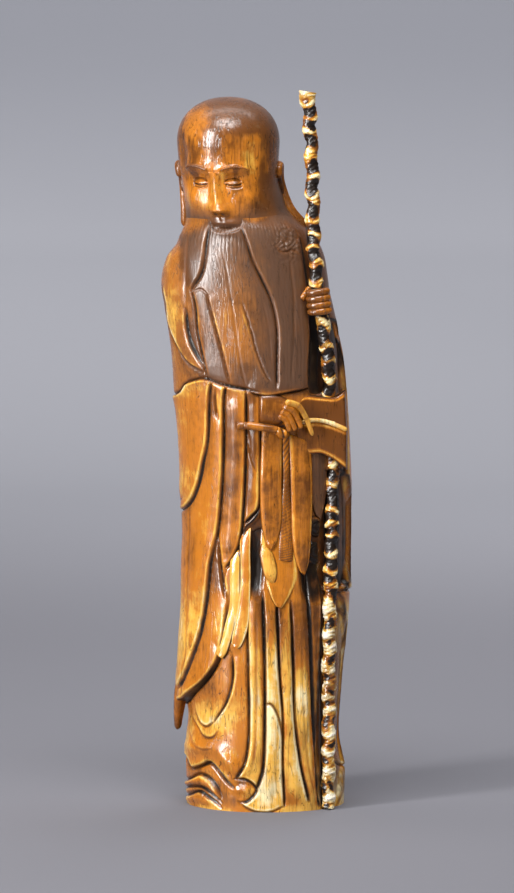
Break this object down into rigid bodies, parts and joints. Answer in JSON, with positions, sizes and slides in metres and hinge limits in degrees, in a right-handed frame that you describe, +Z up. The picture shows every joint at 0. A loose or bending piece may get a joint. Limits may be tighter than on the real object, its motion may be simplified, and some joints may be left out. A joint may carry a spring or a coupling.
{
  "type": "carved standing figure",
  "caption": "Tall slender carved figure of a bald bearded old man in a long robe, holding a knotted staff and a leaf fan, on a flat foot.",
  "frame": {"origin": "on the ground, under the middle of the box round the figure", "axes": "+Z up, -Y the figure's front, +X towards the staff in its left hand"},
  "size_m": [0.0674, 0.055, 0.2503],
  "materials": {
    "ivory": "aged ivory stained amber to brown, polished by handling, dark in the creases"
  },
  "bodies": {
    "root": {"shoulao_figure": "ivory"}
  },
  "joints": []
}
